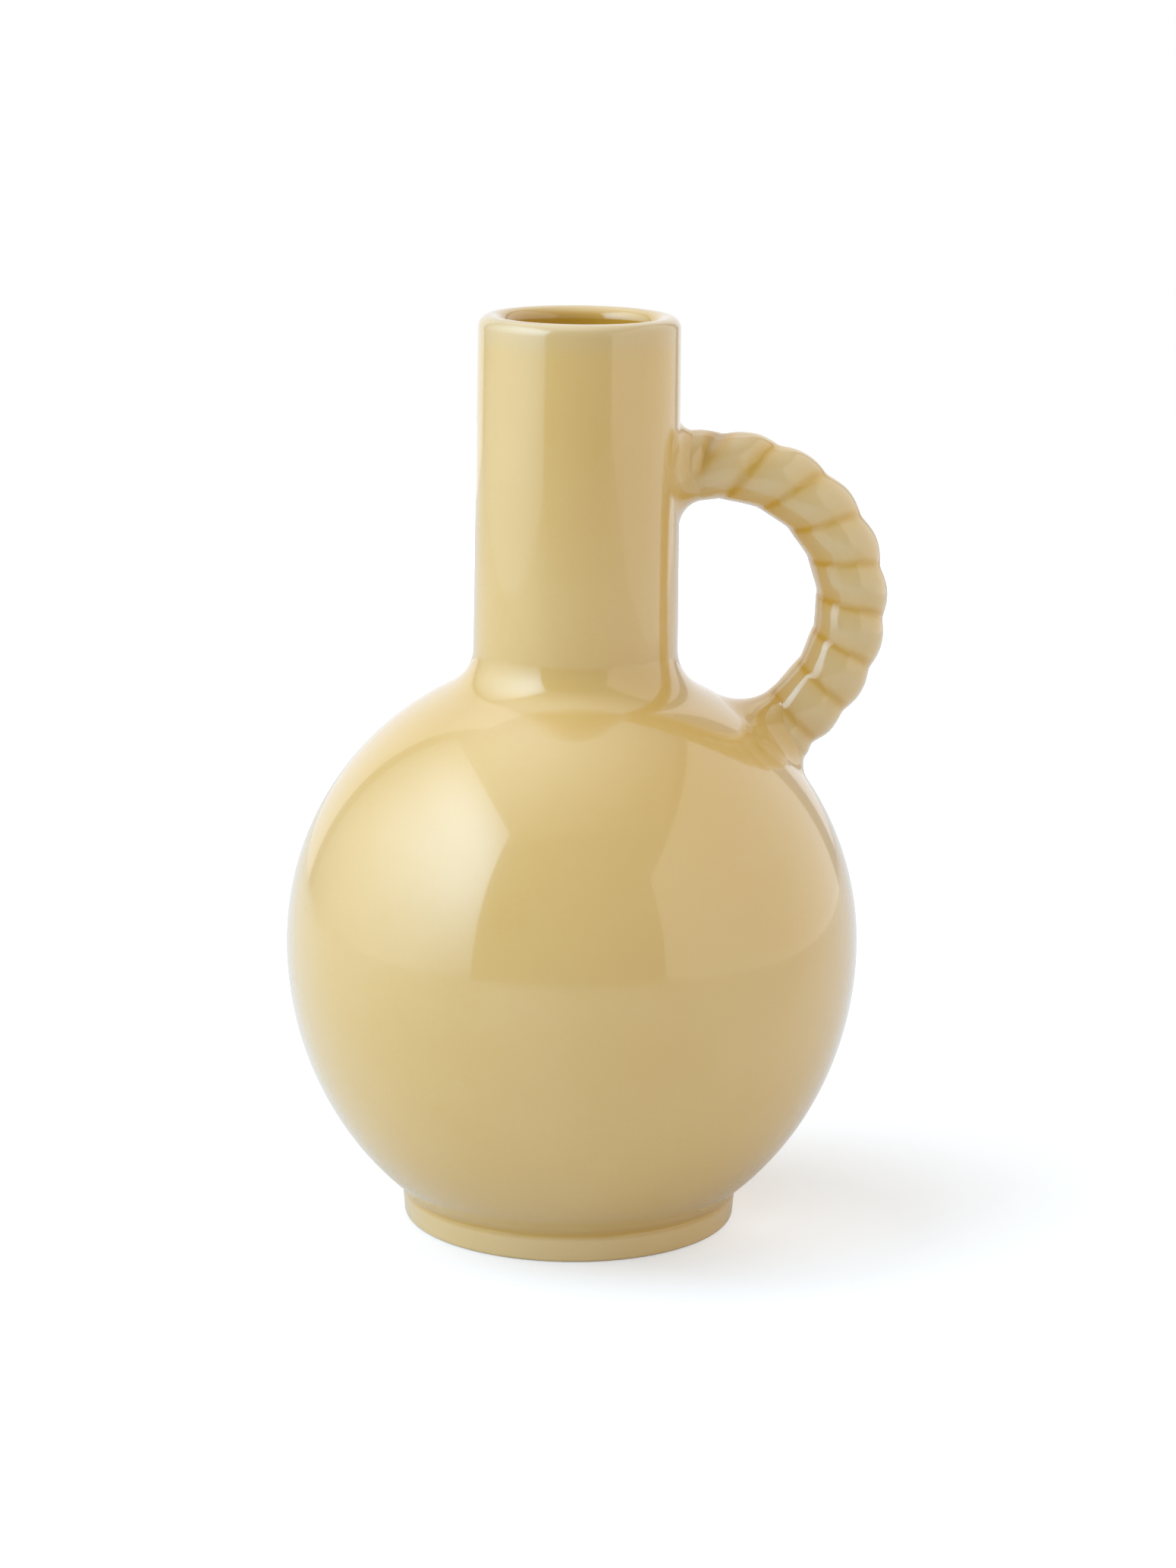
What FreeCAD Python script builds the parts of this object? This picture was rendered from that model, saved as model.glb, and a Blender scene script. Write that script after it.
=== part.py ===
import FreeCAD, Part

# A long-necked ceramic jug vase: a thrown globe on a foot ring, a tube neck with a round lip,
# and two strands of clay, twisted into a rope and bent over as a handle from neck to shoulder.
# The thrown pieces are luted together, and clay worked into each joint rounds it.
# Millimetres, +Z up, the foot's resting plane at zero, the handle towards +X.

import math
import os

from FreeCAD import Matrix, Vector

# Whole vessel
overall_height = 230.0
slip_film = 0.1  # joining slip between luted pieces
overrun = 5.0  # how far a cutting body passes what it cuts
touching = 0.1  # an edge this near a surface counts as lying on it
full_turn = 360.0
round_angle = 2 * math.pi

# Belly: two half ellipses that meet at the widest ring
belly_radius = 72.2
belly_mid_height = 71.7
belly_rise = 72.5
belly_drop = 78.6
belly_wall = 5.0
floor_thickness = 6.0
floor_round = 8.0
collar_play = 0.8  # the belly's collar hole is this much wider than the neck's bore

# Foot ring
foot_radius = 42.5
foot_height = 6.8
foot_land = 7.5
foot_taper = 0.4
foot_edge = 0.8

# Neck
neck_base_radius = 25.65
neck_top_radius = 24.95
bore_radius = 18.8

# Clay coil worked into the corner between neck and shoulder
neck_joint_rise = 7.5
neck_joint_spread = 7.5
neck_joint_thickness = 2.5

# Handle: a straight run from the neck, one bend, and a run that meets the shoulder squarely
handle_below_lip = 37.5
handle_rise_angle = 1.6  # the first run climbs this much from the neck, in degrees
handle_stub = 8.4
shoulder_joint_angle = 45.6  # place of the lower root on the belly's upper ellipse, in degrees
rope_radius_at_neck = 9.0
rope_radius_at_shoulder = 9.5
rope_sides = 24
rope_strands = 2
groove_depth_back = 1.0
groove_depth_inside = 0.35  # on the side where the fingers go
groove_softness = 0.12  # roundness of the groove's bottom, on a unit wave
first_groove = 10.4  # from the neck to the first groove, along the handle's back
pitch_at_neck = 12.6
pitch_at_shoulder = 10.0
lean_at_neck = -1.6  # how far the grooves lean towards the shoulder on the finger side
lean_at_shoulder = 7.2
plain_end = 1.2  # no groove this near a root
fade_length = 3.6  # then the groove deepens over this length
points_per_pitch = 10

# Clay worked round the handle's two roots, with more of it on the finger side
upper_joint_back = 4.0
upper_joint_inside = 6.3
lower_joint_back = 4.5
lower_joint_inside = 9.2
joint_ribs = 24
rib_weight = 0.7  # makes the hollow face nearly a round arc
search_steps = 40

floor_height = foot_height + floor_thickness
handle_height = overall_height - handle_below_lip
lip_round = (neck_top_radius - bore_radius) / 2
lip_start = overall_height - lip_round


def seat_on_belly(radius):
    """Height at which the belly's upper half has this radius."""
    return belly_mid_height + belly_rise * math.sqrt(1 - (radius / belly_radius) ** 2)


neck_seat = seat_on_belly(neck_base_radius)


def neck_radius_at(height):
    share = (height - neck_seat) / (lip_start - neck_seat)
    return neck_base_radius + (neck_top_radius - neck_base_radius) * share


def place(radius, height):
    return Vector(radius, 0, height)


def line(start, end):
    return Part.LineSegment(start, end).toShape()


def ellipse_arc(across, up, centre_height, start_angle, end_angle):
    """Part of an ellipse about the Z axis, as a unit circle's arc stretched to size."""
    angles = (start_angle, (start_angle + end_angle) / 2, end_angle)
    unit = [place(math.cos(a), math.sin(a)) for a in angles]
    stretch = Matrix(across, 0, 0, 0, 0, 1, 0, 0, 0, 0, up, centre_height, 0, 0, 0, 1)
    return Part.Arc(*unit).toShape().transformGeometry(stretch)


def turned(edges):
    """The solid that a closed outline sweeps round the Z axis."""
    outline = Part.Face(Part.Wire(Part.__sortEdges__(edges)))
    return outline.revolve(Vector(), Vector(0, 0, 1), full_turn)


def level_edges(shape, height):
    """The shape's flat round edges at this height."""
    return [
        edge
        for edge in shape.Edges
        if edge.BoundBox.ZLength < touching and abs(edge.BoundBox.ZMin - height) < touching
    ]


def globe(radius, rise, drop, low, mouth_radius, mouth_top):
    """A filled globe, flat below at height low, with a round neck of mouth_radius up to mouth_top."""
    low_angle = -math.asin((belly_mid_height - low) / drop)
    top_angle = math.acos(mouth_radius / radius)
    base = place(radius * math.cos(low_angle), low)
    mouth = place(mouth_radius, belly_mid_height + rise * math.sin(top_angle))
    edges = [
        line(place(0, low), base),
        ellipse_arc(radius, drop, belly_mid_height, low_angle, 0),
        ellipse_arc(radius, rise, belly_mid_height, 0, top_angle),
    ]
    rim = mouth
    if mouth_top > mouth.z:
        rim = place(mouth_radius, mouth_top)
        edges.append(line(mouth, rim))
    edges.append(line(rim, place(0, rim.z)))
    edges.append(line(place(0, rim.z), place(0, low)))
    return turned(edges)


def neck_blank(film):
    """The neck's outside as a filled cone, grown by the film of slip."""
    base = neck_base_radius + film
    top = neck_top_radius + film
    return Part.makeCone(base, top, lip_start - neck_seat, place(0, neck_seat))


def body_blank(film):
    """Belly and neck as one filled form, which the luted pieces are cut to."""
    globe_form = globe(
        belly_radius + film,
        belly_rise + film,
        belly_drop + film,
        foot_height,
        neck_base_radius,
        0,
    )
    return globe_form.fuse(neck_blank(film))


def make_belly():
    outside = globe(belly_radius, belly_rise, belly_drop, foot_height, neck_base_radius, 0)
    hollow = globe(
        belly_radius - belly_wall,
        belly_rise - belly_wall,
        belly_drop - belly_wall,
        floor_height,
        bore_radius + collar_play,
        neck_seat + overrun,
    )
    shell = outside.cut(hollow)
    return shell.makeFillet(floor_round, level_edges(shell, floor_height))


def make_foot_ring():
    """A turned ring with a slight flare, its resting edges and outer shoulder broken."""
    inner = foot_radius - foot_land
    resting = foot_radius - foot_taper
    corners = [
        place(inner + foot_edge, 0),
        place(resting - foot_edge, 0),
        place(resting, foot_edge),
        place(foot_radius, foot_height - foot_edge),
        place(foot_radius - foot_edge, foot_height),
        place(inner, foot_height),
        place(inner, foot_edge),
    ]
    return turned([line(a, b) for a, b in zip(corners, corners[1:] + corners[:1])])


def make_neck():
    lip_top = place(bore_radius + lip_round, overall_height)
    outer_lip = place(neck_top_radius, lip_start)
    inner_lip = place(bore_radius, lip_start)
    return turned(
        [
            line(place(bore_radius, neck_seat), place(neck_base_radius, neck_seat)),
            line(place(neck_base_radius, neck_seat), outer_lip),
            Part.Arc(outer_lip, lip_top, inner_lip).toShape(),
            line(inner_lip, place(bore_radius, neck_seat)),
        ]
    )


def make_neck_joint():
    """A hollow-faced ring of clay: up the neck, out along the shoulder, and an arc between."""
    corner = place(neck_base_radius, neck_seat)
    shoulder_radius = neck_base_radius + neck_joint_spread
    on_neck = place(neck_radius_at(neck_seat + neck_joint_rise), neck_seat + neck_joint_rise)
    on_shoulder = place(shoulder_radius, seat_on_belly(shoulder_radius))
    up = (on_neck - corner).normalize()
    out = (on_shoulder - corner).normalize()
    face_middle = corner + (up + out).normalize() * neck_joint_thickness
    buried = place(neck_base_radius - slip_film, seat_on_belly(shoulder_radius))
    above = place(neck_base_radius - slip_film, on_neck.z)
    coil = turned(
        [
            Part.Arc(on_neck, face_middle, on_shoulder).toShape(),
            line(on_shoulder, buried),
            line(buried, above),
            line(above, on_neck),
        ]
    )
    return coil.cut(body_blank(slip_film))


def cross(a, b):
    """How far b turns from a in the XZ plane."""
    return a.x * b.z - a.z * b.x


class HandlePath:
    """The handle's centre line in the XZ plane: a run, a bend and a run, measured from the neck."""

    def __init__(self):
        rise = math.radians(handle_rise_angle)
        angle = math.radians(shoulder_joint_angle)
        self.upper_root = place(neck_radius_at(handle_height), handle_height)
        self.lower_root = place(
            belly_radius * math.cos(angle), belly_mid_height + belly_rise * math.sin(angle)
        )
        self.first_run = place(math.cos(rise), math.sin(rise))
        self.beneath = place(math.sin(rise), -math.cos(rise))
        outward = place(math.cos(angle) / belly_radius, math.sin(angle) / belly_rise).normalize()
        between = self.lower_root - self.upper_root
        first_reach = cross(between, outward) / cross(self.first_run, outward)
        last_reach = cross(between, self.first_run) / cross(self.first_run, outward)
        turn = math.pi - math.atan2(outward.z, outward.x) + rise
        tangent = first_reach - handle_stub
        self.bend_radius = tangent / math.tan(turn / 2)
        self.bend_length = self.bend_radius * turn
        bend_start = self.upper_root + self.first_run * handle_stub
        self.bend_centre = bend_start + self.beneath * self.bend_radius
        self.length = handle_stub + self.bend_length + last_reach - tangent

    def at(self, distance):
        """Centre, direction and outward side of the handle at this distance from the neck."""
        along_bend = min(max(distance - handle_stub, 0), self.bend_length)
        angle = along_bend / self.bend_radius
        ahead = self.first_run * math.cos(angle) + self.beneath * math.sin(angle)
        outside = self.first_run * math.sin(angle) - self.beneath * math.cos(angle)
        straight = distance - handle_stub - along_bend
        centre = self.bend_centre + outside * self.bend_radius + ahead * straight
        return centre, ahead, outside


path = HandlePath()


def spoke(outside, angle):
    """A direction square to the handle, at an angle from its back towards -Y."""
    return outside * math.cos(angle) + Vector(0, -1, 0) * math.sin(angle)


def blend(at_back, on_inside, angle):
    """A value that changes evenly from the handle's back to its finger side."""
    return at_back + (on_inside - at_back) * (1 - math.cos(angle)) / 2


def plain_radius_at(distance):
    """Half thickness of the handle over its strands, at this distance from the neck."""
    growth = (rope_radius_at_shoulder - rope_radius_at_neck) / path.length
    return rope_radius_at_neck + growth * distance


def turns_at(distance):
    """How many grooves lie between the first one and this distance, with an even change of pitch."""
    growth = (pitch_at_shoulder - pitch_at_neck) / path.length
    pitch = pitch_at_neck + growth * distance
    first_pitch = pitch_at_neck + growth * first_groove
    return math.log(pitch / first_pitch) / growth


def rope_radius_at(distance, angle):
    """Half thickness of the twisted strands: a groove winds between them, and fades at the roots."""
    lean = lean_at_neck + (lean_at_shoulder - lean_at_neck) * distance / path.length
    shifted = distance - blend(0, lean, angle)
    wave = abs(math.sin(math.pi * turns_at(shifted) + rope_strands * angle / 2))
    crest = math.hypot(1, groove_softness) - groove_softness
    lobe = (math.hypot(wave, groove_softness) - groove_softness) / crest
    from_root = min(distance, path.length - distance) - plain_end
    fade = min(max(from_root / fade_length, 0), 1)
    depth = blend(groove_depth_back, groove_depth_inside, angle)
    return plain_radius_at(distance) - depth * fade * (1 - lobe)


def rope_ridge(angle, stations):
    """One lengthwise curve of the twisted strands."""
    points = []
    for distance in stations:
        centre, ahead, outside = path.at(distance)
        points.append(centre + spoke(outside, angle) * rope_radius_at(distance, angle))
    ridge = Part.BSplineCurve()
    ridge.interpolate(Points=points, Parameters=stations)
    return ridge.toShape()


def skin(ribs, end_faces):
    """A closed solid: ruled strips round a ring of curves, and its end faces."""
    strips = [Part.makeRuledSurface(a, b) for a, b in zip(ribs, ribs[1:] + ribs[:1])]
    shell = Part.Shell(strips + end_faces)
    shell.sewShape()
    return Part.Solid(shell)


def make_handle():
    """Ruled strips between neighbouring lengthwise curves, closed at both ends and cut to fit."""
    bar_length = path.length + 2 * overrun
    steps = math.ceil(bar_length / pitch_at_shoulder * points_per_pitch)
    stations = [bar_length * step / steps - overrun for step in range(steps + 1)]
    ridges = [rope_ridge(round_angle * side / rope_sides, stations) for side in range(rope_sides)]
    ends = []
    for parameter in (stations[0], stations[-1]):
        corners = [ridge.valueAt(parameter) for ridge in ridges]
        ends.append(Part.Face(Part.makePolygon(corners + corners[:1])))
    return skin(ridges, ends).cut(body_blank(slip_film))


def inside_body(point):
    """Whether a point above the widest ring lies within belly or neck."""
    radius = math.hypot(point.x, point.y)
    height = (point.z - belly_mid_height) / belly_rise
    return radius < neck_radius_at(point.z) or math.hypot(radius / belly_radius, height) < 1


def seat_on_body(point, direction, reach):
    """Where the line through a point leaves the body, within this reach."""
    low, high = -reach, reach
    for _ in range(search_steps):
        middle = (low + high) / 2
        if inside_body(point + direction * middle):
            low = middle
        else:
            high = middle
    return point + direction * low


def root_joint(distance, direction, at_back, on_inside):
    """A ring of clay around one root of the handle, with a hollow face from rope to body."""
    root, ahead, outside = path.at(distance)
    rope = plain_radius_at(distance)
    reach = rope + at_back + on_inside
    ribs, upper_rim, lower_rim = [], [], []
    for number in range(joint_ribs):
        angle = round_angle * number / joint_ribs
        spread = blend(at_back, on_inside, angle)
        side = spoke(outside, angle)
        corner = seat_on_body(root + side * rope, direction, reach)
        on_body = seat_on_body(root + side * (rope + spread), direction, reach)
        on_rope = corner + direction * spread
        rib = Part.BezierCurve()
        rib.setPoles([on_rope, corner, on_body])
        rib.setWeight(2, rib_weight)
        ribs.append(rib.toShape())
        upper_rim.append(on_rope)
        lower_rim.append(on_body)
    caps = []
    for rim, tip in ((upper_rim, root + direction * reach), (lower_rim, root - direction * reach)):
        for a, b in zip(rim, rim[1:] + rim[:1]):
            caps.append(Part.Face(Part.makePolygon([a, b, tip, a])))
    socket = Part.makeCylinder(rope + 2 * slip_film, 4 * reach, root - direction * 2 * reach, direction)
    return skin(ribs, caps).cut(body_blank(slip_film)).cut(socket)


def build():
    return {
        "belly": make_belly(),
        "foot_ring": make_foot_ring(),
        "neck": make_neck(),
        "neck_joint": make_neck_joint(),
        "twisted_handle": make_handle(),
        "upper_handle_joint": root_joint(
            0, path.at(0)[1], upper_joint_back, upper_joint_inside
        ),
        "lower_handle_joint": root_joint(
            path.length, -path.at(path.length)[1], lower_joint_back, lower_joint_inside
        ),
    }


os.makedirs("parts", exist_ok=True)
for name, shape in build().items():
    print(name, "valid", shape.isValid(), "solids", len(shape.Solids), "volume", round(shape.Volume))
    shape.exportStep(os.path.join("parts", name + ".step"))
print("bend radius", round(path.bend_radius, 1), "handle length", round(path.length, 1))
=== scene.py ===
from math import acos, asin, atan2, cos, e, hypot, log, pi, radians, sin, sqrt, tan

import bmesh
import bpy
from mathutils import Matrix, Vector


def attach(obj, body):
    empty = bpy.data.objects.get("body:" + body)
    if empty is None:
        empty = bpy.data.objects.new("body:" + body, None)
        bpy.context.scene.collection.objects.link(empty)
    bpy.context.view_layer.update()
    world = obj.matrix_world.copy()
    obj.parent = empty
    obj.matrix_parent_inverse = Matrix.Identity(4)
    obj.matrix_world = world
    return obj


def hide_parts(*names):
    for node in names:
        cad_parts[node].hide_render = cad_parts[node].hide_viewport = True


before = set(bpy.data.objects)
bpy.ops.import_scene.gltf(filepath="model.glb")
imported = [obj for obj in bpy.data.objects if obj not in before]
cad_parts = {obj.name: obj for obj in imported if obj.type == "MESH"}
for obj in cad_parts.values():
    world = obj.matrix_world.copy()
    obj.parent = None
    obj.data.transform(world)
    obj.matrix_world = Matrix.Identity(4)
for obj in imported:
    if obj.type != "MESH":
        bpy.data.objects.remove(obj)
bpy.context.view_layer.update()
mm = 0.001
towardsFront = Vector((0, -1, 0))  # the side the photo is taken from
glazeMarks = ("pooledGlazeAndShade", "thinGlaze", "bareClay")  # what each place of a skin has, from 0 to 1


class Thread:
    # one socket of a node tree, usable in sums
    def __init__(self, bench, socket):
        self.bench, self.socket = bench, socket

    def also(self, name):
        return Thread(self.bench, self.socket.node.outputs[name])

    def apply(self, operation, *others):
        return self.bench.math(operation, self, *others)

    def __add__(self, other):
        return self.apply("ADD", other)

    def __radd__(self, other):
        return self.bench.math("ADD", other, self)

    def __sub__(self, other):
        return self.apply("SUBTRACT", other)

    def __rsub__(self, other):
        return self.bench.math("SUBTRACT", other, self)

    def __mul__(self, other):
        return self.apply("MULTIPLY", other)

    def __rmul__(self, other):
        return self.bench.math("MULTIPLY", other, self)

    def __truediv__(self, other):
        return self.apply("DIVIDE", other)

    def __rtruediv__(self, other):
        return self.bench.math("DIVIDE", other, self)

    def atLeast(self, other):
        return self.apply("MAXIMUM", other)

    def atMost(self, other):
        return self.apply("MINIMUM", other)

    def clamped(self):
        return self.atLeast(0.0).atMost(1.0)


class Bench:
    # makes the nodes of one tree
    def __init__(self, tree):
        self.tree = tree

    def add(self, kind, settings=None, values=None, output=0):
        node = self.tree.nodes.new(kind)
        for key, value in (settings or {}).items():
            setattr(node, key, value)
        for key, value in (values or {}).items():
            self.join(value, node.inputs[key])
        return Thread(self, node.outputs[output]) if len(node.outputs) else None

    def join(self, value, socket):
        if isinstance(value, Thread):
            self.tree.links.new(value.socket, socket)
        else:
            socket.default_value = value

    def math(self, operation, *values):
        return self.add("ShaderNodeMath", {"operation": operation}, dict(enumerate(values)))

    def point(self, x, y, z):
        return self.add("ShaderNodeCombineXYZ", None, {0: x, 1: y, 2: z})

    def noise(self, place, scale, detail, roughness=0.5):
        values = {"Vector": place, "Scale": scale, "Detail": detail, "Roughness": roughness}
        return self.add("ShaderNodeTexNoise", None, values)

    def mix(self, share, colour, other):
        values = {0: share, 6: colour, 7: other}
        return self.add("ShaderNodeMix", {"data_type": "RGBA"}, values, output=2)

    def distance(self, place, centre):
        values = {0: place, 1: centre}
        return self.add("ShaderNodeVectorMath", {"operation": "DISTANCE"}, values, "Value")


# helpers for all skins

def bezier(start, middle, end, weight, steps):
    # a hollow or full curve between two places
    points = []
    for step in range(steps + 1):
        t = (1 - cos(pi * step / steps)) / 2  # finest at both ends, where it meets another skin
        a, b, c = (1 - t) ** 2, 2 * t * (1 - t) * weight, t * t
        points.append((start * a + middle * b + end * c) / (a + b + c))
    return points


def fadeFrom(distance, reach):
    # 1 at the place itself, falling smoothly to 0 at this reach
    t = min(max(1 - abs(distance) / reach, 0), 1)
    return t * t * (3 - 2 * t)


def blend(atBack, onInside, angle):
    # round the handle, from its back at angle 0 to the finger side at pi
    return atBack + (onInside - atBack) * (1 - cos(angle)) / 2


def addMarks(shape):
    return [shape.verts.layers.float.new(word) for word in glazeMarks]


def finishMesh(name, shape):
    mesh = bpy.data.meshes.new(name)
    shape.to_mesh(mesh)
    shape.free()
    piece = bpy.data.objects.new(name, mesh)
    bpy.context.scene.collection.objects.link(piece)
    return piece


def turnPiece(name, outline, hardRings=(), closed=False):
    # sweeps an outline of (radius, height, pooled, thin, bare) round the Z axis
    shape = bmesh.new()
    layers = addMarks(shape)
    sides = bellySizes["sides"]
    rings = []
    for radius, height, *marks in outline:
        ring = []
        for k in range(sides if radius > 0 else 1):
            angle = 2 * pi * k / sides
            vert = shape.verts.new((radius * cos(angle), radius * sin(angle), height))
            for layer, mark in zip(layers, marks):
                vert[layer] = mark
            ring.append(vert)
        rings.append(ring)
    pairs = list(zip(rings, rings[1:] + rings[:1]))
    for low, high in pairs if closed else pairs[:-1]:
        for k in range(sides):
            n = (k + 1) % sides
            corners = (low[k % len(low)], low[n % len(low)], high[n % len(high)], high[k % len(high)])
            shape.faces.new(list(dict.fromkeys(corners))).smooth = True
    for number in hardRings:
        ring = rings[number]
        for a, b in zip(ring, ring[1:] + ring[:1]):
            shape.edges.get((a, b)).smooth = False
    return finishMesh(name, shape)


# belly

bellySizes = {
    "radius": 72.2 * mm,
    "midHeight": 71.7 * mm,
    "rise": 72.5 * mm,
    "drop": 78.6 * mm,
    "wall": 5 * mm,
    "floor": 12.8 * mm,
    "floorRound": 8 * mm,
    "floorCornerShare": 0.275,  # how full the curve from wall to floor is
    "collarHole": 19.6 * mm,
    "tuck": 0.4 * mm,  # how far the skin goes down under the coil
    "bareShare": 0.6,  # a ring on the bare underside, as a share of the waist
    # the crease above the foot is darker: pooled glaze, and painted shade under the belly's overhang
    "creasePoolAndShade": 0.55,
    "creaseReach": 2.6 * mm,
    "shoulderPool": 0.06,
    "shoulderReach": 20 * mm,
    "cornerPool": 0.5,
    "floorPool": 0.25,
    "floorShares": (0.7, 0.4, 0.15, 0),
    "creaseSteps": 20,
    "outsideSteps": 130,
    "insideSteps": 50,
    "cornerSteps": 8,
    "sides": 360,  # of every turned piece
}


def seatOnBelly(radius):
    share = radius / bellySizes["radius"]
    return bellySizes["midHeight"] + bellySizes["rise"] * sqrt(1 - share ** 2)


def bellyRadiusAt(height):
    s = bellySizes
    up = s["rise"] if height > s["midHeight"] else s["drop"]
    return s["radius"] * sqrt(max(1 - ((height - s["midHeight"]) / up) ** 2, 0))


def bellyArc(inset, lowAngle, highAngle, steps):
    s = bellySizes
    points = []
    for step in range(steps + 1):
        angle = lowAngle + (highAngle - lowAngle) * step / steps
        up = (s["rise"] if angle > 0 else s["drop"]) - inset
        points.append(Vector(((s["radius"] - inset) * cos(angle), s["midHeight"] + up * sin(angle))))
    return points


def makeBelly():
    s, foot = bellySizes, footSizes
    creaseTop = foot["height"] + foot["waistReach"]
    lowAngle = -asin((s["midHeight"] - creaseTop) / s["drop"])
    topAngle = acos(coilSeat.x / s["radius"])
    waist = Vector((foot["waist"], foot["height"]))
    start = Vector((bellyRadiusAt(creaseTop), creaseTop))
    slope = Vector((s["radius"] * -sin(lowAngle), s["drop"] * cos(lowAngle)))
    middle = start - slope * ((start.x - waist.x) / slope.x)
    outline = [(0, waist.y, 0, 0, 1), (waist.x * s["bareShare"], waist.y, 0, 0, 1)]
    # the crease: pooled glaze, and painted shade where the belly meets the foot
    for p in bezier(waist, middle, start, 1, s["creaseSteps"]):
        outline.append((p.x, p.y, s["creasePoolAndShade"] * fadeFrom(p.y - waist.y, s["creaseReach"]), 0, 0))
    for p in bellyArc(0, lowAngle, topAngle, s["outsideSteps"])[1:]:
        pooled = s["shoulderPool"] * fadeFrom(p.x - neckSizes["baseRadius"], s["shoulderReach"])
        outline.append((p.x, p.y, pooled if p.y > s["midHeight"] else 0, 0, 0))
    seatRing = len(outline) - 1
    outline.append((coilSeat.x - s["tuck"], coilSeat.y - s["tuck"], 0, 0, 0))
    outline.append((neckSizes["baseRadius"], neckSeat - s["tuck"], 0, 0, 0))
    outline.append((s["collarHole"], neckSeat - s["tuck"], 0, 0, 0))

    # the inside, from the collar hole down to the middle of the floor
    insideTop = acos(s["collarHole"] / (s["radius"] - s["wall"]))
    wallEnd = s["midHeight"] - s["floor"] - s["floorRound"] / 2
    insideLow = -asin(wallEnd / (s["drop"] - s["wall"]))
    inside = bellyArc(s["wall"], insideLow, insideTop, s["insideSteps"])[::-1]
    outline += [(p.x, p.y, 0, 0, 0) for p in inside]
    last = inside[-1]
    onFloor = Vector((last.x - s["floorRound"], s["floor"]))
    corner = Vector((last.x - s["floorCornerShare"] * s["floorRound"], s["floor"]))
    for p in bezier(last, corner, onFloor, 1, s["cornerSteps"])[1:]:
        outline.append((p.x, p.y, s["cornerPool"], 0, 0))
    for share in s["floorShares"]:
        outline.append((onFloor.x * share, s["floor"], s["floorPool"], 0, 0))
    return turnPiece("thrown_belly", outline, (1, 2, seatRing, seatRing + 2, seatRing + 3))


# foot ring

footSizes = {
    "radius": 42.5 * mm,
    "restingRadius": 42.1 * mm,
    "height": 6.8 * mm,
    "land": 7.5 * mm,
    "restingWidth": 2.4 * mm,  # from the inside to the resting face's middle ring
    "edgeRound": 1.0 * mm,
    "sideTop": 5.4 * mm,  # here the side starts to round towards the waist
    "waist": 42.38 * mm,  # the narrow place where foot and belly meet
    "waistReach": 3.8 * mm,  # how far up the belly the crease is rounded
    "waistRound": 0.5 * mm,
    "tuck": 0.5 * mm,  # the top goes in under the belly by this much before it is bare
    "belowBelly": 0.02 * mm,
    "innerShare": 0.136,  # distance between the rings of the inner wall, as a share of the height
    "thin": 0.5,
    "sideThinReach": 2 * mm,
    # the top of the foot darkens into the crease: pooled glaze, and painted shade
    "creasePoolAndShade": 0.55,
    "creaseReach": 1.5 * mm,
    "edgeSteps": 8,
    "bareSteps": 5,
    "sideSteps": 8,
    "waistSteps": 14,
    "innerSteps": 6,
}


def makeFoot():
    s = footSizes
    inner, resting, edge = s["radius"] - s["land"], s["restingRadius"], s["edgeRound"]
    outline = []
    for step in range(s["edgeSteps"] + 1):  # the outer resting edge, bare below
        turn = pi / 2 * step / s["edgeSteps"]
        thin, bare = s["thin"] * step / s["edgeSteps"], max(1 - step / s["bareSteps"], 0)
        outline.append((resting - edge + edge * sin(turn), edge * (1 - cos(turn)), 0, thin, bare))
    side = Vector((s["radius"], s["sideTop"]))
    for step in range(1, s["sideSteps"]):  # the side
        share = step / s["sideSteps"]
        radius = resting + (side.x - resting) * share
        outline.append((radius, edge + (side.y - edge) * share, 0, s["thin"], 0))
    waist = Vector((s["waist"], s["height"]))
    corner = Vector((s["radius"], s["height"] - s["waistRound"]))
    # rounding to the crease, the foot darkens with pooled glaze and painted shade
    for p in bezier(side, corner, waist, 1, s["waistSteps"]):  # and on round to the crease
        pooled = s["creasePoolAndShade"] * fadeFrom(p.y - waist.y, s["creaseReach"])
        outline.append((p.x, p.y, pooled, s["thin"] * fadeFrom(p.y - side.y, s["sideThinReach"]), 0))
    waistRing = len(outline) - 1
    outline.append((waist.x - s["tuck"], waist.y - s["belowBelly"], 0, 0, 1))
    outline.append((inner, waist.y - s["belowBelly"], 0, 0, 1))
    innerTop = len(outline) - 1
    for step in range(1, s["innerSteps"] + 1):  # the inner wall, downwards
        outline.append((inner, s["height"] * (1 - s["innerShare"] * step), 0, 0, 1))
    for step in range(s["innerSteps"] + 1):  # the inner resting edge
        turn = pi / 2 * step / s["innerSteps"]
        outline.append((inner + edge * (1 - cos(turn)), edge * (1 - sin(turn)), 0, 0, 1))
    outline.append((inner + s["restingWidth"], 0, 0, 0, 1))
    return turnPiece("turned_foot_ring", outline, (waistRing, innerTop), closed=True)


# neck, and the coil between it and the belly

neckSizes = {
    "baseRadius": 25.65 * mm,
    "topRadius": 24.95 * mm,
    "bore": 18.8 * mm,
    "top": 230 * mm,
    "tuck": 0.4 * mm,  # how far the skin goes in behind the coil
    "basePool": 0.12,
    "baseReach": 17 * mm,
    "lipThin": 0.35,
    "lipThinReach": 6 * mm,
    "ridgeThin": 0.4,  # more of it on the lip's ridge
    # the bore is darker and warmer: pooled glaze, and painted shade inside the neck
    "borePoolAndShade": 0.85,
    "boreThinReach": 3 * mm,
    "sideSteps": 44,
    "lipSteps": 25,
    "boreSteps": 30,
}
coilSizes = {
    "rise": 7.5 * mm,
    "spread": 7.5 * mm,
    "weight": 1.0,  # how deep the face goes into the corner
    "pool": 0.07,
    "cornerPool": 0.06,
    "cornerReach": 9 * mm,
    "bury": 0.3 * mm,
    "topBury": 0.1 * mm,
    "steps": 26,
}

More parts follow.
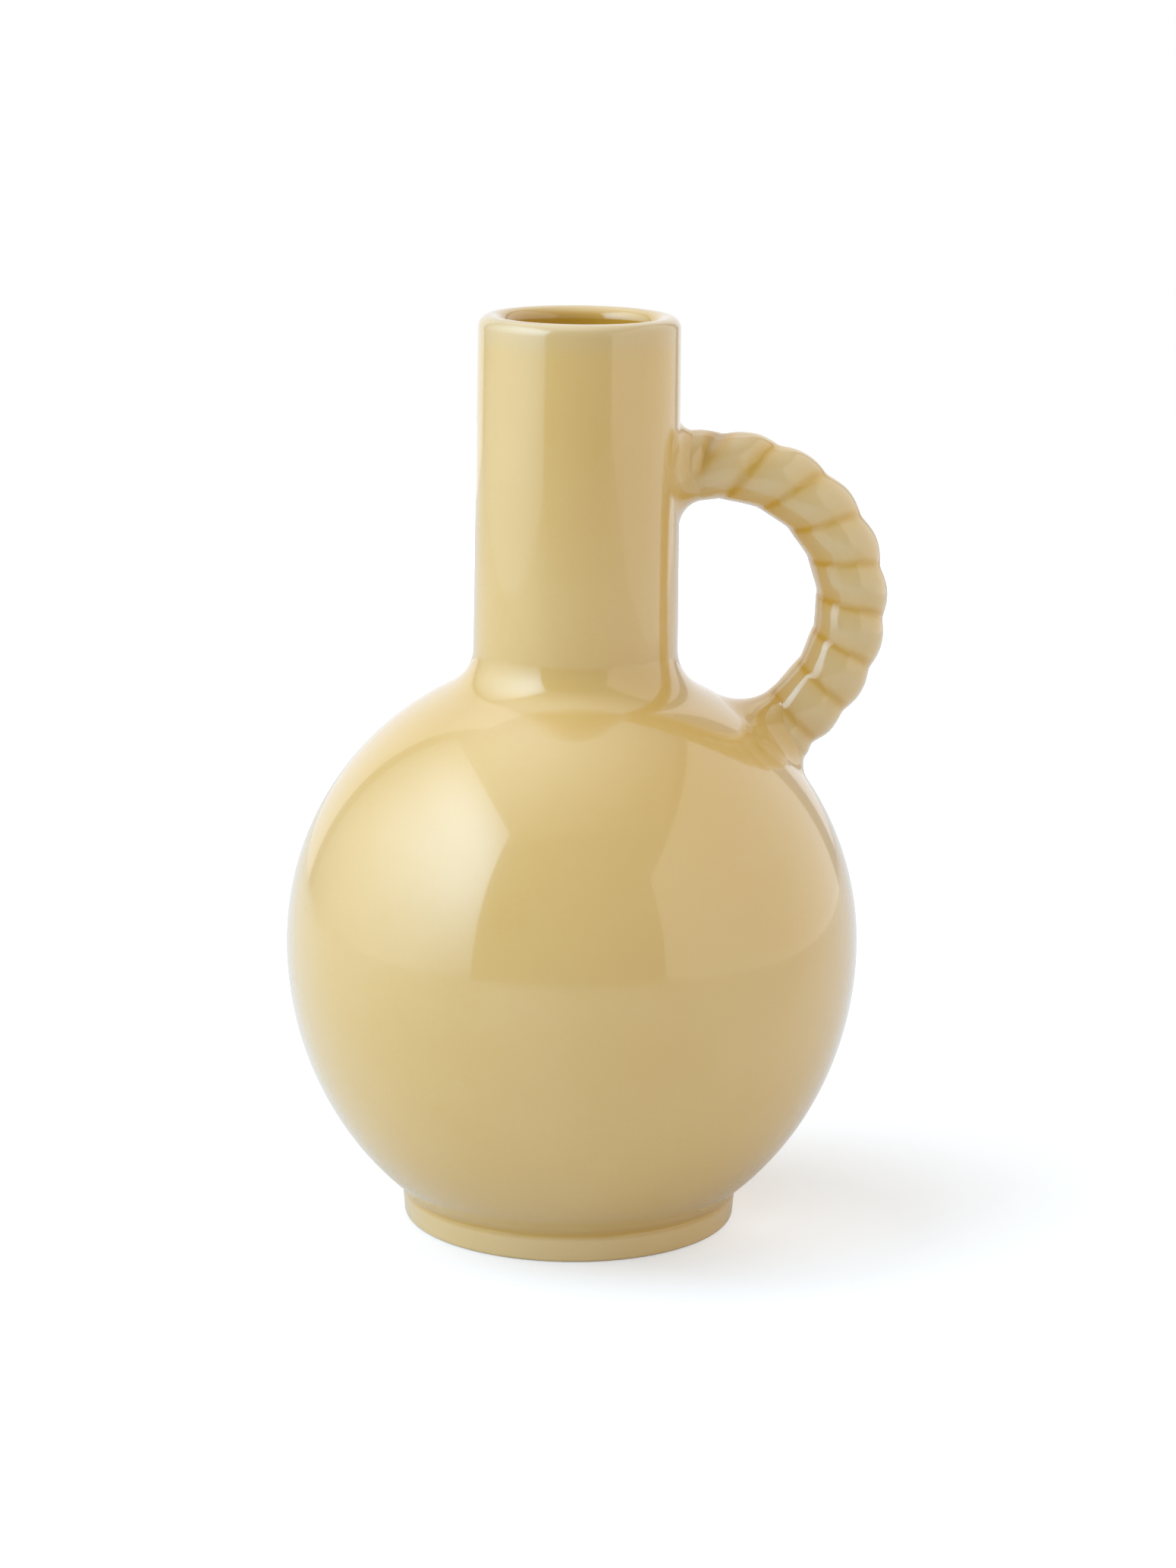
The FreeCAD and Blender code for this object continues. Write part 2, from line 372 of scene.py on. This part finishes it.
neckSeat = seatOnBelly(neckSizes["baseRadius"])
lipRound = (neckSizes["topRadius"] - neckSizes["bore"]) / 2
lipStart = neckSizes["top"] - lipRound


def neckRadiusAt(height):
    share = (height - neckSeat) / (lipStart - neckSeat)
    return neckSizes["baseRadius"] + (neckSizes["topRadius"] - neckSizes["baseRadius"]) * share


coilSeat = Vector((neckSizes["baseRadius"] + coilSizes["spread"], 0))
coilSeat.y = seatOnBelly(coilSeat.x)
coilTop = Vector((neckRadiusAt(neckSeat + coilSizes["rise"]), neckSeat + coilSizes["rise"]))


def makeNeck():
    s = neckSizes
    outline = [
        (s["baseRadius"] - s["tuck"], neckSeat, 0, 0, 0),
        (coilTop.x - s["tuck"], coilTop.y, 0, 0, 0),
    ]
    for step in range(s["sideSteps"] + 1):  # the outside
        height = coilTop.y + (lipStart - coilTop.y) * step / s["sideSteps"]
        pooled = s["basePool"] * fadeFrom(height - neckSeat, s["baseReach"])
        thin = s["lipThin"] * fadeFrom(height - lipStart, s["lipThinReach"])
        outline.append((neckRadiusAt(height), height, pooled, thin, 0))
    for step in range(1, s["lipSteps"]):  # the lip
        turn = pi * step / s["lipSteps"]
        radius = s["bore"] + lipRound + lipRound * cos(turn)
        # the lip's inner half darkens towards the bore: pooled glaze, and painted shade
        pooled = s["borePoolAndShade"] * max(2 * step / s["lipSteps"] - 1, 0)
        thin = s["lipThin"] + s["ridgeThin"] * sin(turn)
        outline.append((radius, lipStart + lipRound * sin(turn), pooled, thin, 0))
    # the bore: pooled glaze, and painted shade inside the neck
    for step in range(s["boreSteps"] + 1):  # the bore
        height = lipStart + (neckSeat - lipStart) * step / s["boreSteps"]
        thin = s["lipThin"] * fadeFrom(height - lipStart, s["boreThinReach"])
        outline.append((s["bore"], height, s["borePoolAndShade"], thin, 0))
    return turnPiece("thrown_neck", outline, (0, 1, 2, len(outline) - 1), closed=True)


def makeNeckCoil():
    s, belly, neckRadius = coilSizes, bellySizes, neckSizes["baseRadius"]
    fall = coilSeat.x / belly["radius"] ** 2 * belly["rise"] ** 2 / (coilSeat.y - belly["midHeight"])
    corner = Vector((neckRadius, coilSeat.y - fall * (neckRadius - coilSeat.x)))
    outline = []
    for p in bezier(coilSeat, corner, coilTop, s["weight"], s["steps"]):
        pooled = s["pool"] + s["cornerPool"] * fadeFrom((p - corner).length, s["cornerReach"])
        outline.append((p.x, p.y, pooled, 0, 0))
    outline.append((coilTop.x - s["bury"], coilTop.y - s["topBury"], 0, 0, 0))
    outline.append((neckRadius - s["bury"], neckSeat - s["bury"], 0, 0, 0))
    outline.append((coilSeat.x - s["bury"], coilSeat.y - s["bury"], 0, 0, 0))
    hardRings = (0, *range(s["steps"], len(outline)))
    return turnPiece("neck_coil", outline, hardRings, closed=True)


# the handle's way from neck to shoulder, in the XZ plane

handleSizes = {
    "belowLip": 37.5 * mm,
    "riseAngle": 1.6,  # degrees above level
    "stub": 8.4 * mm,  # the straight run before the bend
    "shoulderAngle": 45.6,  # degrees up the belly from its widest place
    "rootDepth": 2.9 * mm,  # how far the rope goes on into the neck
    "shoulderDepth": 1.6 * mm,  # and into the shoulder
}


def across(a, b):
    return a.x * b.z - a.z * b.x


class HandleWay:
    def __init__(self, s):
        belly = bellySizes
        rise, angle = radians(s["riseAngle"]), radians(s["shoulderAngle"])
        height = neckSizes["top"] - s["belowLip"]
        self.root = Vector((neckRadiusAt(height), 0, height))
        self.shoulderRoot = Vector(
            (belly["radius"] * cos(angle), 0, belly["midHeight"] + belly["rise"] * sin(angle))
        )
        self.firstRun = Vector((cos(rise), 0, sin(rise)))
        self.beneath = Vector((sin(rise), 0, -cos(rise)))
        outward = Vector((cos(angle) / belly["radius"], 0, sin(angle) / belly["rise"])).normalized()
        between = self.shoulderRoot - self.root
        firstReach = across(between, outward) / across(self.firstRun, outward)
        lastReach = across(between, self.firstRun) / across(self.firstRun, outward)
        turn = pi - atan2(outward.z, outward.x) + rise
        tangent = firstReach - s["stub"]
        self.stub = s["stub"]
        self.bendRadius = tangent / tan(turn / 2)
        self.bendLength = self.bendRadius * turn
        self.bendCentre = self.root + self.firstRun * s["stub"] + self.beneath * self.bendRadius
        self.length = s["stub"] + self.bendLength + lastReach - tangent

    def at(self, distance):
        alongBend = min(max(distance - self.stub, 0), self.bendLength)
        angle = alongBend / self.bendRadius
        ahead = self.firstRun * cos(angle) + self.beneath * sin(angle)
        outside = self.firstRun * sin(angle) - self.beneath * cos(angle)
        straight = distance - self.stub - alongBend
        centre = self.bendCentre + outside * self.bendRadius + ahead * straight
        return centre, ahead, outside


way = HandleWay(handleSizes)


# the rope: a grid wound round the handle's way by nodes

ropeSizes = {
    "Radius at neck": 9.0 * mm,
    "Radius at shoulder": 9.5 * mm,
    "Groove depth at back": 1.0 * mm,
    "Groove depth inside": 0.35 * mm,
    "Groove softness": 0.2,
    "Strands": 2.0,
    "First groove": 10.4 * mm,
    "Pitch at neck": 12.6 * mm,
    "Pitch at shoulder": 10.0 * mm,
    "Lean at neck": -1.6 * mm,
    "Lean at shoulder": 7.2 * mm,
    "Plain end": 1.2 * mm,
    "Fade length": 3.6 * mm,
    "Kneading": 0.3 * mm,  # how uneven the hand left the strands
    "Kneading scale": 150.0,
    "Kneading detail": 1.0,
    "Kneading reach": 9 * mm,  # the lumps are read this far from the middle
    "Pool width": 0.5,
    "Pool depth": 0.72,
    "Stain and shade reach": 9 * mm,  # the first groove is wider and darker on its back: pooled glaze, and painted dark reflection of the neck by the root
    "Stain and shade width": 0.9,
    "Stain and shade depth": 1.1,
    "Thin on strands": 0.75,
    "Rings": 300,
    "Sides": 121,
    "End share": 0.0001,  # the first and last ring close the ends
    "Weld distance": 0.002 * mm,
}


def plainRadiusAt(distance):
    s = ropeSizes
    return s["Radius at neck"] + (s["Radius at shoulder"] - s["Radius at neck"]) * distance / way.length


def ropeSkinAt(distance, angle):
    # half thickness of the rope, and how pooled and how thin its glaze is there, as its nodes have it
    s = ropeSizes
    growth = (s["Pitch at shoulder"] - s["Pitch at neck"]) / way.length
    lean = s["Lean at neck"] + (s["Lean at shoulder"] - s["Lean at neck"]) * distance / way.length
    pitch = s["Pitch at neck"] + growth * (distance - blend(0, lean, angle))
    turns = log(pitch / (s["Pitch at neck"] + growth * s["First groove"])) / growth
    wave = abs(sin(pi * turns + s["Strands"] * angle / 2))
    soft = s["Groove softness"]
    lobe = (hypot(wave, soft) - soft) / (hypot(1, soft) - soft)
    fromRoot = min(distance, way.length - distance) - s["Plain end"]
    fade = min(max(fromRoot / s["Fade length"], 0), 1)
    depth = blend(s["Groove depth at back"], s["Groove depth inside"], angle)
    # a darker stain near the neck root: pooled glaze, and painted dark reflection of the neck
    stainAndShade = max(1 - abs(distance - s["First groove"]) / s["Stain and shade reach"], 0) * blend(1, 0, angle)
    near = max(1 - wave / (s["Pool width"] + stainAndShade * s["Stain and shade width"]), 0)
    pooled = near * near * (3 - near * 2) * fade * (s["Pool depth"] + stainAndShade * s["Stain and shade depth"])
    skin = plainRadiusAt(distance) - depth * fade * (1 - lobe)
    return skin, pooled, lobe * fade * s["Thin on strands"]


def ropeTree():
    tree = bpy.data.node_groups.new("Twisted rope", "GeometryNodeTree")
    bench = Bench(tree)
    face = tree.interface
    given = dict(ropeSizes)
    given.update({
        "Stub": way.stub,
        "Bend radius": way.bendRadius,
        "Bend length": way.bendLength,
        "Handle length": way.length,
        "Start": -handleSizes["rootDepth"],
        "End": way.length + handleSizes["shoulderDepth"],
    })
    for word, value in given.items():
        kind = "NodeSocketInt" if isinstance(value, int) else "NodeSocketFloat"
        face.new_socket(name=word, in_out="INPUT", socket_type=kind)
    face.new_socket(name="Glaze", in_out="INPUT", socket_type="NodeSocketMaterial")
    face.new_socket(name="Rope", in_out="OUTPUT", socket_type="NodeSocketGeometry")
    entry = bench.add("NodeGroupInput").socket.node
    size = {socket.name: Thread(bench, socket) for socket in entry.outputs if socket.name}

    def between(first, last, share):
        return size[first] + (size[last] - size[first]) * share

    grid = bench.add("GeometryNodeMeshGrid", None, {
        "Size X": 1.0, "Size Y": 1.0, "Vertices X": size["Rings"], "Vertices Y": size["Sides"]})
    flat = bench.add("ShaderNodeSeparateXYZ", None, {0: bench.add("GeometryNodeInputPosition")})
    share, turnShare = flat + 0.5, flat.also("Y") + 0.5
    distance = between("Start", "End", share)
    angle = turnShare * (-2 * pi)
    cosine, sine = angle.apply("COSINE"), angle.apply("SINE")
    towardsInside = (1 - cosine) * 0.5
    part = distance / size["Handle length"]

    # the strands and the grooves between them
    growth = (size["Pitch at shoulder"] - size["Pitch at neck"]) / size["Handle length"]
    shifted = distance - between("Lean at neck", "Lean at shoulder", part) * towardsInside
    pitch = size["Pitch at neck"] + growth * shifted
    firstPitch = size["Pitch at neck"] + growth * size["First groove"]
    turns = (pitch / firstPitch).apply("LOGARITHM", e) / growth
    wave = (turns * pi + size["Strands"] * angle * 0.5).apply("SINE").apply("ABSOLUTE")
    soft = size["Groove softness"]
    root = (wave * wave + soft * soft).apply("SQRT")
    crest = (1 + soft * soft).apply("SQRT")
    lobe = (root - soft) / (crest - soft)
    fromRoot = distance.atMost(size["Handle length"] - distance) - size["Plain end"]
    fade = (fromRoot / size["Fade length"]).clamped()
    depth = between("Groove depth at back", "Groove depth inside", towardsInside)
    reach = size["Kneading reach"]
    around = bench.point(distance, cosine * reach, sine * reach)
    lump = bench.noise(around, size["Kneading scale"], size["Kneading detail"])
    end = size["End share"]
    inner = share.apply("GREATER_THAN", end) * share.apply("LESS_THAN", 1 - end)
    plain = between("Radius at neck", "Radius at shoulder", part)
    radius = (plain - depth * fade * (1 - lobe) - lump * size["Kneading"] * fade) * inner

    # the bend
    beyond = (distance - size["Stub"]).atLeast(0.0)
    alongBend = beyond.atMost(size["Bend length"])
    bend = alongBend / size["Bend radius"]
    bendCos, bendSin = bend.apply("COSINE"), bend.apply("SINE")
    first, beneath, centre = way.firstRun, way.beneath, way.bendCentre
    aheadX, aheadZ = bendCos * first.x + bendSin * beneath.x, bendCos * first.z + bendSin * beneath.z
    outX, outZ = bendSin * first.x - bendCos * beneath.x, bendSin * first.z - bendCos * beneath.z
    straight = distance - size["Stub"] - alongBend
    arm = size["Bend radius"] + radius * cosine
    place = bench.point(
        outX * arm + aheadX * straight + centre.x,
        radius * sine * -1.0,
        outZ * arm + aheadZ * straight + centre.z,
    )

    # the glaze that pools in the grooves and runs thin on the strands, and a darker stain by the upper
    # root that is partly painted dark reflection of the neck
    offFirst = (distance - size["First groove"]).apply("ABSOLUTE")
    stainAndShade = (1 - offFirst / size["Stain and shade reach"]).atLeast(0.0) * (1 - towardsInside)
    near = (1 - wave / (size["Pool width"] + stainAndShade * size["Stain and shade width"])).atLeast(0.0)
    poolDepth = size["Pool depth"] + stainAndShade * size["Stain and shade depth"]
    marks = {
        "pooledGlazeAndShade": near * near * (3 - near * 2) * fade * poolDepth,
        "thinGlaze": lobe * fade * size["Thin on strands"],
    }
    rope = grid
    for word, value in marks.items():
        rope = bench.add("GeometryNodeStoreNamedAttribute", {"data_type": "FLOAT", "domain": "POINT"}, {
            "Geometry": rope, "Name": word, "Value": value})
    rope = bench.add("GeometryNodeSetPosition", None, {"Geometry": rope, "Position": place})
    rope = bench.add("GeometryNodeMergeByDistance", None, {
        "Geometry": rope, "Distance": size["Weld distance"]})
    rope = bench.add("GeometryNodeSetShadeSmooth", None, {"Geometry": rope, "Shade Smooth": True})
    rope = bench.add("GeometryNodeRealizeInstances", None, {"Geometry": rope})
    rope = bench.add("GeometryNodeSetMaterial", None, {"Geometry": rope, "Material": size["Glaze"]})
    bench.add("NodeGroupOutput", None, {"Rope": rope})
    return tree, given


def makeHandle(glaze):
    tree, given = ropeTree()
    given["Glaze"] = glaze
    maker = bpy.data.objects.new("rope_maker", bpy.data.meshes.new("rope_maker"))
    bpy.context.scene.collection.objects.link(maker)
    modifier = maker.modifiers.new("Twist", "NODES")
    modifier.node_group = tree
    for item in tree.interface.items_tree:
        if item.item_type == "SOCKET" and item.in_out == "INPUT":
            modifier[item.identifier] = given[item.name]
    graph = bpy.context.evaluated_depsgraph_get()
    mesh = bpy.data.meshes.new_from_object(maker.evaluated_get(graph))
    maker.modifiers.remove(modifier)
    bpy.data.objects.remove(maker)
    mesh.name = "rope_handle"
    piece = bpy.data.objects.new("rope_handle", mesh)
    bpy.context.scene.collection.objects.link(piece)
    return piece


# clay worked round the handle's two roots

rootSizes = {
    "upperBack": 4.0 * mm,
    "upperInside": 6.3 * mm,
    "lowerBack": 4.5 * mm,
    "lowerInside": 9.2 * mm,
    "weight": 0.7,
    "tuck": 0.03 * mm,  # how far the feather edge goes under the skin
    "ropeTuck": 0.18 * mm,  # and under the rope
    "bury": 0.5 * mm,
    "pool": 0.45,
    "ropeShare": 0.5,  # so much of the face still has the rope's glaze
    "sides": 128,
    "steps": 28,
    "searchSteps": 40,
}


def insideBody(point):
    radius = hypot(point.x, point.y)
    height = (point.z - bellySizes["midHeight"]) / bellySizes["rise"]
    return radius < neckRadiusAt(point.z) or hypot(radius / bellySizes["radius"], height) < 1


def seatOnBody(point, direction, reach):
    low, high = -reach, reach
    for _ in range(rootSizes["searchSteps"]):
        middle = (low + high) / 2
        if insideBody(point + direction * middle):
            low = middle
        else:
            high = middle
    return point + direction * low


def skinNormal(point, onNeck):
    if onNeck:
        return Vector((point.x, point.y, 0)).normalized()
    height = point.z - bellySizes["midHeight"]
    a, b = bellySizes["radius"] ** 2, bellySizes["rise"] ** 2
    return Vector((point.x / a, point.y / a, height / b)).normalized()


def makeRootClay(name, distance, direction, atBack, onInside, onNeck):
    s = rootSizes
    root, _, outside = way.at(distance)
    rope = plainRadiusAt(distance)
    reach = rope + atBack + onInside
    shape = bmesh.new()
    pooledLayer, thinLayer, _ = addMarks(shape)
    ribs = []
    for number in range(s["sides"]):
        angle = 2 * pi * number / s["sides"]
        spread = blend(atBack, onInside, angle)
        side = outside * cos(angle) + towardsFront * sin(angle)
        corner = seatOnBody(root + side * rope, direction, reach)
        start = (corner - root).dot(direction) + spread
        skin, ropePooled, ropeThin = ropeSkinAt(start if onNeck else way.length - start, angle)
        onRope = root + direction * start + side * (skin - s["ropeTuck"])
        onBody = seatOnBody(root + side * (rope + spread), direction, reach)
        normal = skinNormal(onBody, onNeck)
        onBody -= normal * s["tuck"]
        middle = onRope + direction * ((onBody - onRope).dot(normal) / direction.dot(normal))
        hollow = min((onRope - middle).length, (onBody - middle).length)
        rib = []
        for step, point in enumerate(bezier(onRope, middle, onBody, s["weight"], s["steps"])):
            vert = shape.verts.new(point)
            ending = fadeFrom(step / s["steps"], s["ropeShare"])
            pooled = s["pool"] * fadeFrom((point - middle).length, hollow)
            vert[pooledLayer] = pooled + ropePooled * ending
            vert[thinLayer] = ropeThin * ending
            rib.append(vert)
        rib.append(shape.verts.new(onBody - normal * s["bury"] - side * s["bury"]))
        rib.append(shape.verts.new(corner - normal * s["bury"] - side * s["bury"]))
        rib.append(shape.verts.new(onRope - side * s["bury"] - direction * s["bury"]))
        ribs.append(rib)
    for a, b in zip(ribs, ribs[1:] + ribs[:1]):
        count = len(a)
        for k in range(count):
            n = (k + 1) % count
            shape.faces.new((a[k], b[k], b[n], a[n])).smooth = True
        for k in (0, s["steps"], s["steps"] + 1, s["steps"] + 2):
            shape.edges.get((a[k], b[k])).smooth = False
    bmesh.ops.recalc_face_normals(shape, faces=shape.faces)
    return finishMesh(name, shape)


# glaze

glazeRecipe = {
    "body": (0.74, 0.485, 0.155, 1),
    "warm": (0.71, 0.445, 0.115, 1),
    # pooled and deep are pooled glaze, and also painted shade in the bore, the crease above the foot and
    # by the handle's upper root
    "pooled": (0.65, 0.375, 0.045, 1),
    "deep": (0.50, 0.28, 0.015, 1),
    "thin": (0.73, 0.53, 0.245, 1),
    "bare": (0.79, 0.70, 0.54, 1),
    "clouds": (26.0, 3.0, 0.5),  # scale, detail and roughness of each noise
    "specks": (900.0, 2.0, 0.6),
    "waves": (60.0, 2.0, 0.45),
    "cloudStart": 0.4,
    "cloudGain": 2.2,
    "speckGain": 0.5,
    "thinEvenness": 0.8,
    "thinClouds": 0.4,
    "poolEvenness": 0.75,
    "poolClouds": 0.5,
    "poolGain": 1.4,
    "deepStart": 0.75,
    "deepGain": 1.2,
    "bareEvenness": 0.85,
    "bareSpecks": 0.3,
    "roughness": 0.2,
    "roughSpecks": 0.03,
    "roughBare": 0.55,
    "waveHeight": 0.1 * mm,
    "speckHeight": 0.004 * mm,
    "coats": {"IOR": 1.55, "Coat Roughness": 0.04, "Coat IOR": 1.63},
}


def mixGlaze(name, **changes):
    r = dict(glazeRecipe, **changes)
    material = bpy.data.materials.new(name)
    material.use_nodes = True
    bench = Bench(material.node_tree)
    shader = material.node_tree.nodes["Principled BSDF"]
    place = bench.add("ShaderNodeTexCoord", output="Object")
    pooled, thin, bare = (
        bench.add("ShaderNodeAttribute", {"attribute_name": word}, output="Fac") for word in glazeMarks
    )
    cloud, speck, wave = (bench.noise(place, *r[word]) for word in ("clouds", "specks", "waves"))
    offSpeck = speck - 0.5
    warmth = ((cloud - r["cloudStart"]) * r["cloudGain"] + offSpeck * r["speckGain"]).clamped()
    thinness = (thin * (r["thinEvenness"] + r["thinClouds"] * cloud)).atMost(1.0)
    depth = pooled * (r["poolEvenness"] + r["poolClouds"] * cloud)
    clay = (bare * (r["bareEvenness"] + r["bareSpecks"] * speck)).atMost(1.0)
    colour = bench.mix(warmth, r["body"], r["warm"])
    colour = bench.mix(thinness, colour, r["thin"])
    # pooled glaze; in the bore, the crease above the foot and by the handle's upper root it is also
    # painted shade
    colour = bench.mix((depth * r["poolGain"]).atMost(1.0), colour, r["pooled"])
    colour = bench.mix(((depth - r["deepStart"]) * r["deepGain"]).clamped(), colour, r["deep"])
    colour = bench.mix(clay, colour, r["bare"])
    roughness = r["roughness"] + offSpeck * r["roughSpecks"] + clay * r["roughBare"]
    height = wave * r["waveHeight"] + speck * r["speckHeight"]
    bump = bench.add("ShaderNodeBump", None, {"Strength": 1.0, "Distance": 1.0, "Height": height})
    bench.join(colour, shader.inputs["Base Color"])
    bench.join(roughness, shader.inputs["Roughness"])
    bench.join((1 - clay).atLeast(0.0), shader.inputs["Coat Weight"])
    bench.join(bump, shader.inputs["Normal"])
    for word, value in r["coats"].items():
        shader.inputs[word].default_value = value
    return material


print("glaze")
yellowGlaze = mixGlaze("yellow glaze", thin=(0.63, 0.475, 0.25, 1))
# the foot's own paler glaze, made lighter still: painted light, standing in for light the lamps give the
# foot too little of
footGlazePaintedLighter = mixGlaze(
    "foot glaze painted lighter",
    body=(0.82, 0.56, 0.20, 1),
    warm=(0.80, 0.525, 0.155, 1),
    thin=(0.83, 0.62, 0.33, 1),
)
handleGlaze = mixGlaze("handle glaze")

print("thrown pieces")
pieces = [
    (makeBelly(), "belly", "yellow_glaze", yellowGlaze),
    (makeFoot(), "foot_ring", "foot_glaze", footGlazePaintedLighter),
    (makeNeck(), "neck", "yellow_glaze", yellowGlaze),
    (makeNeckCoil(), "neck_joint", "yellow_glaze", yellowGlaze),
]
print("handle")
upperClay = ("upper_root_clay", 0, way.at(0)[1], rootSizes["upperBack"], rootSizes["upperInside"], True)
lowerClay = (
    "lower_root_clay", way.length, -way.at(way.length)[1],
    rootSizes["lowerBack"], rootSizes["lowerInside"], False,
)
pieces += [
    (makeHandle(handleGlaze), "twisted_handle", "handle_glaze", handleGlaze),
    (makeRootClay(*upperClay), "upper_handle_joint", "handle_glaze", handleGlaze),
    (makeRootClay(*lowerClay), "lower_handle_joint", "handle_glaze", handleGlaze),
]
for piece, node, slot, glaze in pieces:
    if not piece.data.materials:
        piece.data.materials.append(glaze)
    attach(piece, "root")
    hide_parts(node)


# camera, as the photo's

viewpoint = {
    "focal": 5282.36,  # in the photo's pixels
    "photoHeight": 2067,
    "sensor": 36,
    "nearest": 0.01,
    "tilt": 0.2238,  # radians, as the roll
    "roll": -0.0136,
    "turn": 8,  # degrees that the handle is turned away
    "offset": (-5.050, 109.24, 1032.96),  # mm from camera to foot: right, down and ahead
}


def setCamera(v):
    level, fall = Vector((1, 0, 0)), Vector((0, -sin(v["tilt"]), -cos(v["tilt"])))
    ahead = Vector((0, cos(v["tilt"]), -sin(v["tilt"])))
    right = cos(v["roll"]) * level + sin(v["roll"]) * fall
    fallen = cos(v["roll"]) * fall - sin(v["roll"]) * level
    stand = -(Matrix((right, fallen, ahead)).transposed() @ Vector(v["offset"])) * mm
    turned = Matrix.Rotation(-radians(v["turn"]), 3, "Z")
    camera = bpy.data.objects.new("photo_camera", bpy.data.cameras.new("photo_camera"))
    bpy.context.scene.collection.objects.link(camera)
    axes = turned @ Matrix((right, -fallen, -ahead)).transposed()
    camera.matrix_world = Matrix.Translation(turned @ stand) @ axes.to_4x4()
    camera.data.sensor_width = v["sensor"]
    camera.data.lens = v["focal"] * v["sensor"] / v["photoHeight"]
    camera.data.clip_start = v["nearest"]
    bpy.context.scene.camera = camera


# light, floor and surroundings: a glow has its brightest place's (side, up) and its spread

lights = {
    "left_scrim": {
        "at": (-1.0, 0.1, 0.9), "size": (2.1, 1.8), "aim": (0, 0.1, 0.9), "strength": 2.1,
        "colour": (0.68, 0.84, 1), "glow": (0.3, 0.1, 1.0)},
    "left_glow": {
        "at": (-0.98, 0.1, 0.9), "size": (2.1, 1.8), "aim": (0, 0.1, 0.9), "strength": 1.7,
        "colour": (0.47, 0.72, 1), "glow": (0.74, 0.08, 0.76)},
    "right_card": {
        "at": (0.85, -0.4, 0.6), "size": (2.3, 1.4), "aim": (0, -0.4, 0.6), "strength": 0.52},
    "back_card": {
        "at": (0.05, 1.2, 1.15), "size": (1.8, 2.3), "aim": (0.05, 0, 1.15), "strength": 0.5},
    "top_glow": {  # aimed a hair off straight down, which settles how it is turned
        "at": (-0.35, 0.25, 1.6), "size": (2.6, 2.6), "aim": (-0.35, 0.251, 0), "strength": 1.15,
        "colour": (0.88, 0.96, 1), "glow": (0, 0, 0.95)},
}
floorLook = {
    "halfSize": 1.5,
    "colour": (0.77, 0.775, 0.785, 1),
    "roughness": 0.9,
    "shine": 0.1,
    "lift": 0.28,
    "liftTint": (0.96, 1, 1.05),
    # painted light: away from this middle the floor is lifted towards plain white, trimming the shadow
    "shadowMiddle": (0.075, 0.015, 0),
    "shadowReach": 0.02,
    "awayGain": 1.2,
    # painted light: a paler spot painted into the shadow beside the foot
    "besideFoot": (0.047, -0.018, 0),
    "besideFootReach": 0.04,
    "besideFootLift": 0.16,
}
ambient = 0.46


def hangLight(name, s):
    lamp = bpy.data.lights.new(name, "AREA")
    lamp.shape = "RECTANGLE"
    lamp.size, lamp.size_y = s["size"]
    lamp.color = s.get("colour", (1, 1, 1))
    lamp.energy = s["strength"] * pi * lamp.size * lamp.size_y
    light = bpy.data.objects.new(name, lamp)
    bpy.context.scene.collection.objects.link(light)
    look = Vector(s["aim"]) - Vector(s["at"])
    light.matrix_world = Matrix.Translation(s["at"]) @ look.to_track_quat("-Z", "Y").to_matrix().to_4x4()
    light.visible_camera = False
    if "glow" in s:
        lamp.use_nodes = True
        bench = Bench(lamp.node_tree)
        side, up, spread = s["glow"]
        width, height = s["size"]
        onLamp = bench.add("ShaderNodeNewGeometry", output="Parametric")
        flat = bench.add("ShaderNodeSeparateXYZ", None, {0: onLamp})
        offU = (flat - (0.5 + side / width)) * (width / spread)
        offV = (flat.also("Y") - (0.5 + up / height)) * (height / spread)
        power = ((offU * offU + offV * offV) * -1.0).apply("EXPONENT")
        bench.join(power, lamp.node_tree.nodes["Emission"].inputs["Strength"])


def layFloor(s):
    shape = bmesh.new()
    bmesh.ops.create_grid(shape, x_segments=1, y_segments=1, size=s["halfSize"])
    floor = finishMesh("floor", shape)
    material = bpy.data.materials.new("pale floor")
    material.use_nodes = True
    bench = Bench(material.node_tree)
    shader = material.node_tree.nodes["Principled BSDF"]
    shader.inputs["Base Color"].default_value = s["colour"]
    shader.inputs["Roughness"].default_value = s["roughness"]
    shader.inputs["Specular IOR Level"].default_value = s["shine"]
    shader.inputs["Emission Strength"].default_value = 1
    seen = bench.add("ShaderNodeLightPath", output="Is Camera Ray")
    spot = bench.add("ShaderNodeTexCoord", output="Object")
    # painted light: for the camera the floor is lifted to plain white away from the shadow, and a paler
    # spot is painted into the shadow beside the foot
    away = ((bench.distance(spot, s["shadowMiddle"]) - s["shadowReach"]) * s["awayGain"]).clamped()
    offFoot = bench.distance(spot, s["besideFoot"]) * (1 / s["besideFootReach"])
    near = (1 - offFoot).atLeast(0.0) * s["besideFootLift"]
    lift = seen * (s["lift"] + away + near)
    tinted = {number: lift * tint for number, tint in enumerate(s["liftTint"])}
    glow = bench.add("ShaderNodeCombineColor", None, tinted)
    bench.join(glow, shader.inputs["Emission Color"])
    floor.data.materials.append(material)


def setSurroundings():
    world = bpy.data.worlds.new("studio")
    world.use_nodes = True
    bench = Bench(world.node_tree)
    shine = world.node_tree.nodes["Background"]
    seen = bench.add("ShaderNodeLightPath", output="Is Camera Ray")
    shine.inputs["Color"].default_value = (1, 1, 1, 1)
    bench.join(ambient + seen * (1 - ambient), shine.inputs["Strength"])
    bpy.context.scene.world = world


print("camera and light")
setCamera(viewpoint)
for name, settings in lights.items():
    hangLight(name, settings)
layFloor(floorLook)
setSurroundings()
bpy.context.scene.view_settings.view_transform = "Standard"
